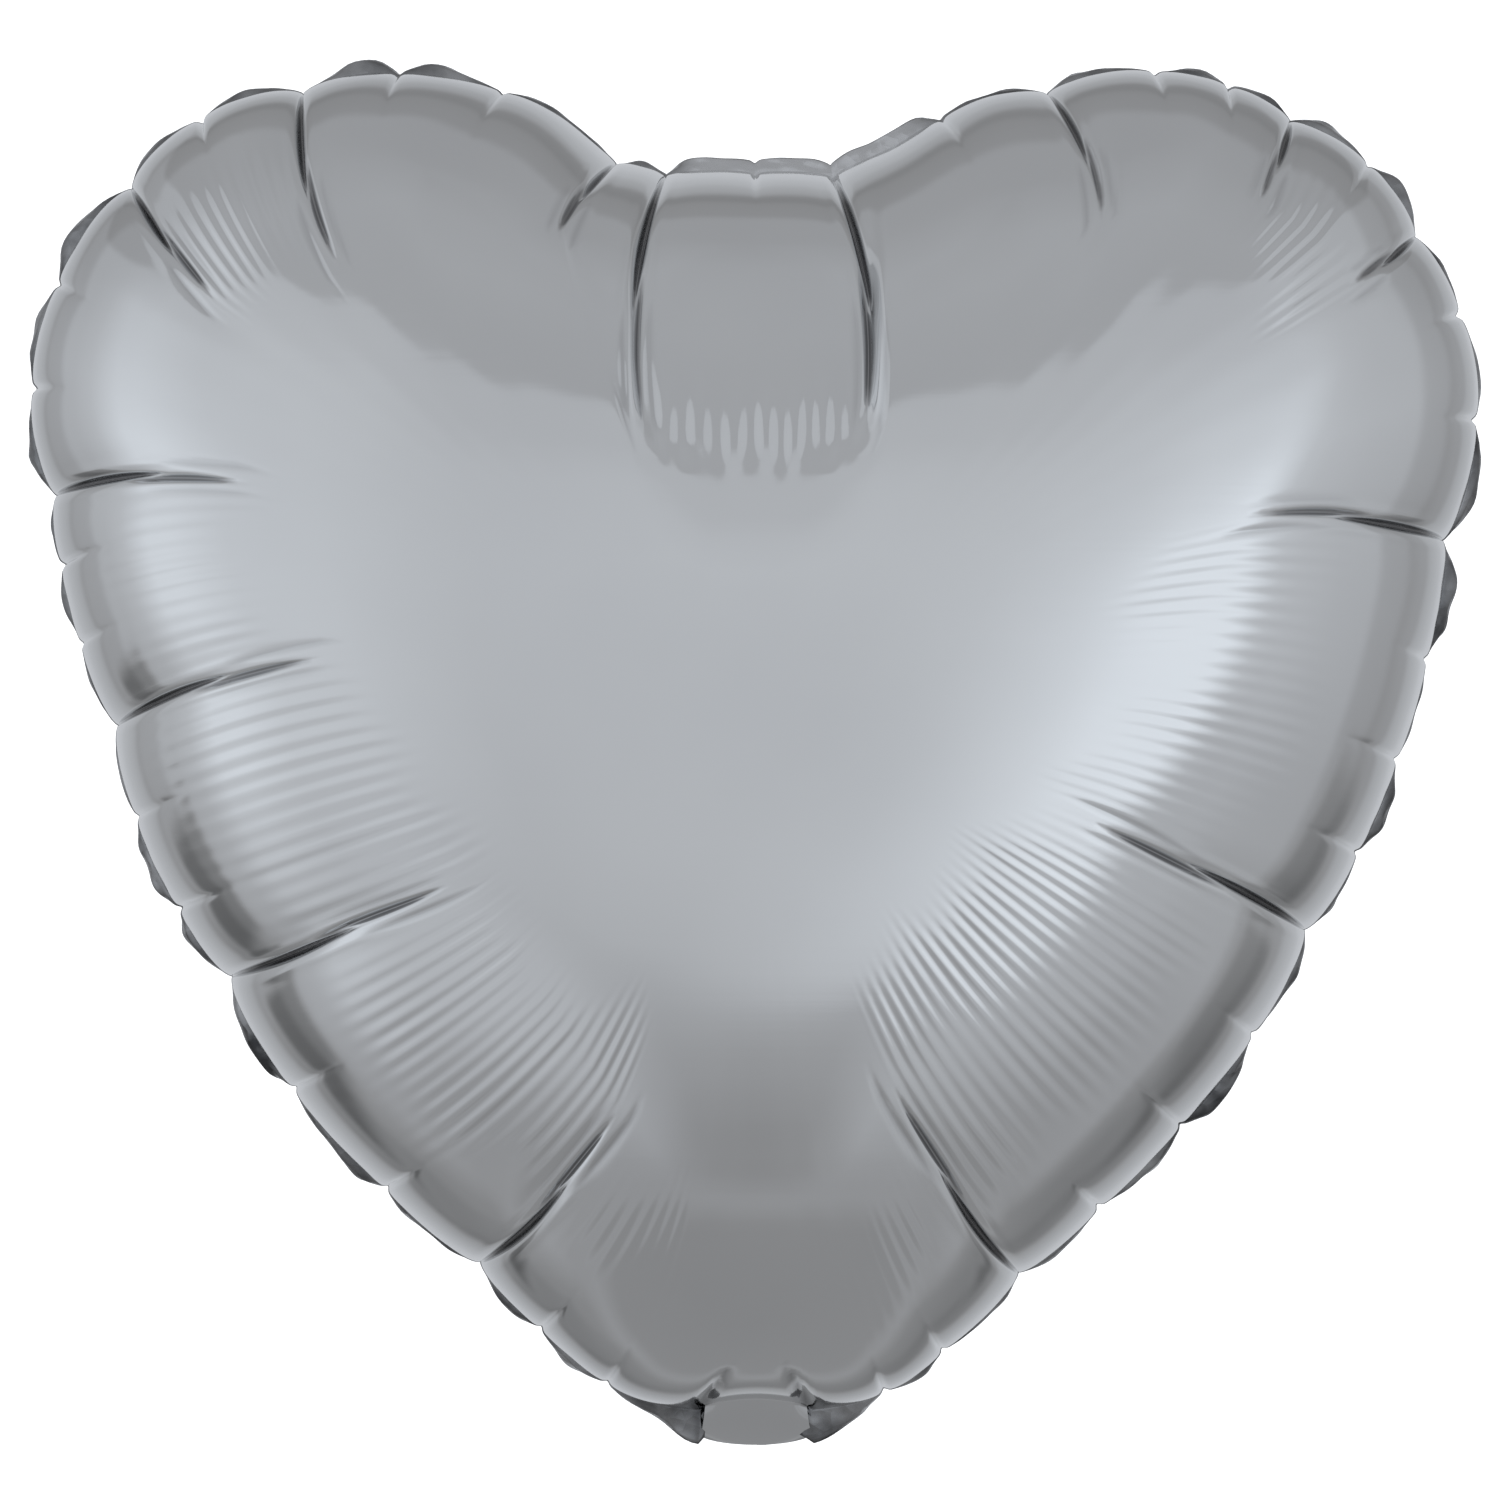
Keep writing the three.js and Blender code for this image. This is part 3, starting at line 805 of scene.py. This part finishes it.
def make_neck():
    rng = np.random.default_rng(31)
    for side, name, notch in ((-1, "front", 0.0), (1, "back", NOTCH_RADIUS)):
        sheet = sleeve_sheet(side, NECK_HALF_WIDTH, NECK_CHANNEL, NECK_RISE - SHEET_GAP, SHEET_GAP,
                             NECK_START, NECK_END, rng, notch, NECK_GATHER)
        skin = shell_object(f"neck_{name}_skin", in_neck(sheet), FILM_SHOWN)
        rides(skin, "neck", "foil", f"neck_{name}_film")
    for side, name in ((-1, "left"), (1, "right")):
        seal = shell_object(f"neck_{name}_flange", neck_seal(side), FLANGE_SHOWN)
        bends(seal, "foil_seal", (0, THROAT_TOP), (NECK_START, 0), f"neck_seal_{name}")
    lining = shell_object("throat_lining", throat_lining(), FILM_SHOWN)
    bends(lining, "foil", (0, THROAT_TOP - 3), (0, NECK_RISE))


def make_sleeve(prefix, node_prefix, body, place, low, high):
    """Two clear plies and their side welds."""
    rng = np.random.default_rng(len(prefix))
    for side, name in ((-1, "front"), (1, "back")):
        sheet = sleeve_sheet(side, PLY_HALF_WIDTH, PASSAGE_HALF_WIDTH, PLY_RISE, SHEET_GAP, low, high, rng)
        ply = shell_object(f"{prefix}_{name}_sheet", place(sheet), FILM_SHOWN)
        rides(ply, body, "valve_film", f"{node_prefix}_{name}_ply")
    for side, name in ((-1, "left"), (1, "right")):
        x = side * np.linspace(WELD_FROM, WELD_TO, 6)[:, None]
        along = np.linspace(low, high, 120)[None, :]
        out = 0.06 * np.sin(along * 2 * math.pi / 1.1) * np.ones_like(x)
        points = np.stack(np.broadcast_arrays(x, out, along), axis=-1)
        weld = shell_object(f"{prefix}_{name}_weld", place(points), WELD_SHOWN)
        rides(weld, body, "valve_film", f"{node_prefix}_weld_{name}")


def upright(points):
    """The valve stands in the heart: its length runs up."""
    return points


def patch(side, half_width, base, rise, channel, low, high):
    """A small patch that follows a sleeve's sheet, with fine dimples."""
    x = np.linspace(-half_width, half_width, 25)[:, None]
    along = np.linspace(low, high, 17)[None, :]
    out = base + rise * hat(x / channel)
    dimple = 0.04 * np.sin(x * 4.2) * np.sin(along * 4.2)
    return np.stack(np.broadcast_arrays(x, side * (out + dimple), along), axis=-1)


def make_valve():
    make_sleeve("valve", "valve", "valve", upright, VALVE_FOOT, VALVE_TOP)
    make_sleeve("entry", "valve_entry", "neck", in_neck, NECK_START, ENTRY_END)
    for side, name in ((-1, "front"), (1, "back")):
        low, high = (corner[1] for corner in node_box(f"valve_tack_{name}"))
        points = patch(side, TACK_HALF_WIDTH, SHEET_GAP, TACK_RISE, TACK_CHANNEL, low, high)
        tack = shell_object(f"{name}_tack_patch", in_neck(points), TACK_SHOWN)
        rides(tack, "neck", "foil_seal", f"valve_tack_{name}")
    low, high = (corner[2] for corner in node_box("valve_release_coat"))
    points = patch(1, PRINT_HALF_WIDTH, PRINT_GAP, PRINT_RISE, PASSAGE_HALF_WIDTH, low, high)
    print_patch = shell_object("release_print", points, PRINT_SHOWN)
    rides(print_patch, "valve", "valve_coat", "valve_release_coat")


make_heart()
make_neck()
make_valve()

# ---- Studio ----
# What the foil reflects: brightness by direction, with angles in degrees. Azimuth and turn are from the
# front, and elevation is from level.
FLOOR_TO_CEILING = [
    (-90, 0.31), (-62, 0.32), (-57, 0.39), (-52, 0.33), (-44, 0.34), (-31, 0.41), (-24, 0.49), (-19, 0.55),
    (-8, 0.60), (8, 0.64), (18, 0.62), (24, 0.58), (33, 0.575), (35, 0.465), (60, 0.485), (90, 0.46),
]
CEILING_LIFT = [(0, 0), (14, 0), (30, 11), (95, 11), (130, 0), (180, 0)]  # its edge is higher at the sides
LOW_SIDES = [(0, 0), (12, 0.02), (26, 0.15), (50, 0.13), (75, 0.09), (110, 0.11), (125, 0), (180, 0)]
LOW_SIDES_RISE = [(-56, 0), (-51, 0.6), (-44, 1), (-30, 1), (-20, 0)]
LEFT_BOX = [(-112, 0), (-103, 0.07), (-91, 0.31), (-79, 0.28), (-62, 0.14), (-40, 0.10), (-18, 0)]
LEFT_BOX_RISE = [
    (-45, 0), (-36, 0.3), (-26, 0.5), (-18, 0.6), (-10, 0.95), (-2, 0.9), (10, 0.55), (24, 0.4), (48, 0),
]
RIGHT_BOX = [
    (2, 0), (9, 0.05), (16, 0.13), (24, 0.22), (34, 0.35), (50, 0.45), (54, 0.40), (63, 0.05), (70, 0),
]
RIGHT_BOX_RISE = [(-27, 0), (-22, 0.7), (-12, 1), (2, 1), (10, 0.5), (20, 0.3), (32, 0)]
SLANT = 0.5  # of the right box's edge: azimuth degrees for each degree of elevation
SIDE_SHADE = [
    (0, 0), (76, 0), (94, 0.08), (111, 0.12), (115, 0.27), (126, 0.31), (130, 0.40), (136, 0.36),
    (180, 0.36),
]
SHADE_OFFSET = 8  # degrees by which the shade starts later on the left, at its most
ABOVE_FLOOR = [(-90, 0), (-60, 0), (-40, 1), (90, 1)]
STRIP_TURN = (120.5, 6.5, 5)  # a dark strip behind the balloon, low down: middle, half width, soft edge
STRIP_ELEVATION = (-26, 6, 6)
STRIP_SHADE = 0.29  # share of the light that it takes away
STRIP_LEAN = -0.14  # it takes away more on the left, by this much at its most
SURROUND = 0.60  # pale wall that the outermost rim reflects
SURROUND_SHARE = [(0, 0), (134, 0), (138, 0.4), (147, 0.7), (156, 0.9), (172, 1), (180, 1)]
BEHIND = [(0, 0), (150, 0), (160, 1), (180, 1)]  # where the same lights stand again, behind the balloon
# The light's colour by its brightness: neutral greys, and bluish lights.
TINT = [
    (0, (0, 0, 0)), (0.33, (0.325, 0.328, 0.335)), (0.62, (0.60, 0.618, 0.648)), (1, (0.94, 0.99, 1.05)),
]
FLOOR_DROP, FLOOR_REACH, DOME_RADIUS = 3200, 7000, 9000  # in mm
DOME_COLUMNS, DOME_ROWS = 48, 25
# In metres.
CAMERA_DISTANCE = 2.0
VIEW_WIDTH = 0.3908  # of the picture, at the balloon
VIEW_X, VIEW_Z = -0.0013, 0.1772  # the picture's middle
SENSOR_WIDTH = 36  # mm


def math_node(tree, operation, *values):
    node = tree.nodes.new("ShaderNodeMath")
    node.operation = operation
    for socket, value in zip(node.inputs, values):
        if isinstance(value, (int, float)):
            socket.default_value = value
        else:
            tree.links.new(value, socket)
    return node.outputs[0]


def degrees(tree, operation, *values):
    """An angle in degrees from an inverse trigonometric function."""
    return math_node(tree, "MULTIPLY", math_node(tree, operation, *values), 180 / math.pi)


def colour_ramp(tree, value, stops):
    """Colour by a value from 0 to 1, from (value, colour) stops."""
    ramp = tree.nodes.new("ShaderNodeValToRGB")
    elements = ramp.color_ramp.elements
    for _ in stops[2:]:
        elements.new(0.5)
    for element, (at, colour) in zip(elements, stops):
        element.position = at
        element.color = (*colour, 1)
    tree.links.new(value, ramp.inputs["Fac"])
    return ramp.outputs["Color"]


def levels(tree, value, stops):
    """Brightness by value, from (value, brightness) stops."""
    low, high = stops[0][0], stops[-1][0]
    node = tree.nodes.new("ShaderNodeMapRange")
    node.inputs["From Min"].default_value = low
    node.inputs["From Max"].default_value = high
    tree.links.new(value, node.inputs["Value"])
    greys = [((at - low) / (high - low), (level, level, level)) for at, level in stops]
    return colour_ramp(tree, node.outputs["Result"], greys)


def scaled_levels(tree, value, stops, scale):
    """Levels above 1, from stops that are shared out by the scale."""
    shared_out = [(at, level / scale) for at, level in stops]
    return math_node(tree, "MULTIPLY", levels(tree, value, shared_out), scale)


def soft_band(tree, angle, middle, half, soft):
    """1 within half of the middle, falling smoothly to 0 over soft more."""
    off = math_node(tree, "ABSOLUTE", math_node(tree, "SUBTRACT", angle, middle))
    node = tree.nodes.new("ShaderNodeMapRange")
    node.interpolation_type = "SMOOTHSTEP"
    node.inputs["From Min"].default_value = half
    node.inputs["From Max"].default_value = half + soft
    node.inputs["To Min"].default_value = 1
    node.inputs["To Max"].default_value = 0
    tree.links.new(off, node.inputs["Value"])
    return node.outputs["Result"]


def mixed(tree, first, second, share):
    node = tree.nodes.new("ShaderNodeMix")
    tree.links.new(share, node.inputs["Factor"])
    for socket, value in (("A", first), ("B", second)):
        if isinstance(value, float):
            node.inputs[socket].default_value = value
        else:
            tree.links.new(value, node.inputs[socket])
    return node.outputs["Result"]


def studio_lights(tree, x, toward, z):
    """Walls, floor and two softboxes as seen from the balloon, on the side that toward points to."""
    elevation = degrees(tree, "ARCSINE", z)
    azimuth = degrees(tree, "ARCTAN2", x, toward)
    sideways = math_node(tree, "ABSOLUTE", azimuth)
    high = levels(tree, elevation, [(-90, 0), (15, 0), (30, 1), (90, 1)])
    most = max(degree for _, degree in CEILING_LIFT)
    lift = math_node(tree, "MULTIPLY", scaled_levels(tree, sideways, CEILING_LIFT, most), high)
    value = levels(tree, math_node(tree, "SUBTRACT", elevation, lift), FLOOR_TO_CEILING)
    slanted = math_node(tree, "MULTIPLY_ADD", elevation, -SLANT, azimuth)
    for angle, across, rise in ((slanted, RIGHT_BOX, RIGHT_BOX_RISE), (azimuth, LEFT_BOX, LEFT_BOX_RISE),
                                (sideways, LOW_SIDES, LOW_SIDES_RISE)):
        width, height = levels(tree, angle, across), levels(tree, elevation, rise)
        value = math_node(tree, "MULTIPLY_ADD", width, height, value)
    return value


def side_shade(tree, x, z, turn):
    """Share of the light that is missing at the balloon's sides and behind it, with the dark strip."""
    elevation = degrees(tree, "ARCSINE", z)
    shaded_turn = math_node(tree, "MULTIPLY_ADD", x, SHADE_OFFSET, turn)
    shade = levels(tree, shaded_turn, SIDE_SHADE)
    shade = math_node(tree, "MULTIPLY", shade, levels(tree, elevation, ABOVE_FLOOR))
    strip = soft_band(tree, turn, *STRIP_TURN)
    strip = math_node(tree, "MULTIPLY", strip, soft_band(tree, elevation, *STRIP_ELEVATION))
    strip_shade = math_node(tree, "MULTIPLY_ADD", x, STRIP_LEAN, STRIP_SHADE)
    return math_node(tree, "MULTIPLY_ADD", strip, strip_shade, shade)


def make_world():
    """The same lights before and behind, duller at the sides, with a pale wall between them."""
    world = bpy.data.worlds.new("studio")
    bpy.context.scene.world = world
    world.use_nodes = True
    tree = world.node_tree
    coords = tree.nodes.new("ShaderNodeTexCoord")
    split = tree.nodes.new("ShaderNodeSeparateXYZ")
    tree.links.new(coords.outputs["Generated"], split.inputs[0])
    x, y, z = split.outputs
    forward = math_node(tree, "MULTIPLY", y, -1)
    turn = degrees(tree, "ARCCOSINE", forward)
    lit = math_node(tree, "SUBTRACT", 1, side_shade(tree, x, z, turn))
    value = math_node(tree, "MULTIPLY", studio_lights(tree, x, forward, z), lit)
    value = mixed(tree, value, studio_lights(tree, x, y, z), levels(tree, turn, BEHIND))
    value = mixed(tree, value, SURROUND, levels(tree, turn, SURROUND_SHARE))
    tree.links.new(colour_ramp(tree, value, TINT), tree.nodes["Background"].inputs["Color"])


def make_camera():
    """At the photograph's place: straight in front, level with the balloon's middle."""
    data = bpy.data.cameras.new("camera")
    data.sensor_width = SENSOR_WIDTH
    data.lens = SENSOR_WIDTH * CAMERA_DISTANCE / VIEW_WIDTH
    camera = bpy.data.objects.new("camera", data)
    camera.location = (VIEW_X, -CAMERA_DISTANCE, VIEW_Z)
    camera.rotation_euler = (math.pi / 2, 0, 0)
    bpy.context.scene.collection.objects.link(camera)
    bpy.context.scene.camera = camera
    bpy.context.scene.view_settings.view_transform = "Standard"


def studio_white():
    """Pale, faintly uneven studio paper, lit evenly."""
    material, tree, shader = new_material("studio_white", Roughness=0.9, Emission_Strength=0.9)
    colour = two_colours(tree, noise(tree, 1.5), (0.90, 0.90, 0.90), (0.93, 0.93, 0.93))
    tree.links.new(colour, shader.inputs["Base Color"])
    tree.links.new(colour, shader.inputs["Emission Color"])
    return material


def backdrop(name, points, faces):
    """A piece of the studio that the camera sees and the foil doesn't reflect."""
    obj = mesh_object(name, points, faces)
    obj.data.materials.append(WHITE)
    for kind in ("glossy", "diffuse", "transmission", "shadow"):
        setattr(obj, f"visible_{kind}", False)


def make_studio():
    """A floor far below the floating balloon, inside a pale dome."""
    corners = [(-1, -1), (1, -1), (1, 1), (-1, 1)]
    floor = [(x * FLOOR_REACH, y * FLOOR_REACH, -FLOOR_DROP) for x, y in corners]
    backdrop("studio_floor", floor, [(0, 1, 2, 3)])
    turn = np.linspace(0, 2 * math.pi, DOME_COLUMNS + 1)[:-1, None]
    rise = np.linspace(-0.5, 0.5, DOME_ROWS)[None, :] * math.pi * 0.98
    ball = [np.cos(turn) * np.cos(rise), np.sin(turn) * np.cos(rise), np.sin(rise)]
    dome = np.stack(np.broadcast_arrays(*ball), axis=-1).reshape(-1, 3) * DOME_RADIUS
    index = np.arange(DOME_COLUMNS * DOME_ROWS).reshape(DOME_COLUMNS, DOME_ROWS)
    backdrop("studio_dome", dome, grid_quads(np.vstack([index, index[:1]])).tolist())


def area_light(name, place, size, power):
    """A soft light that faces the balloon. It isn't mirrored in the foil: the world has the reflections."""
    data = bpy.data.lights.new(name, "AREA")
    data.size = size
    data.energy = power
    light = bpy.data.objects.new(name, data)
    light.location = place
    light.rotation_euler = (Vector((0, 0, 0.17)) - Vector(place)).to_track_quat("-Z", "Y").to_euler()
    light.visible_glossy = False
    bpy.context.scene.collection.objects.link(light)


WHITE = studio_white()
make_world()
make_camera()
make_studio()
area_light("key_light", (-1.6, -2.4, 1.8), 2.0, 20)
area_light("top_light", (0.4, 0.6, 2.4), 2.0, 14)
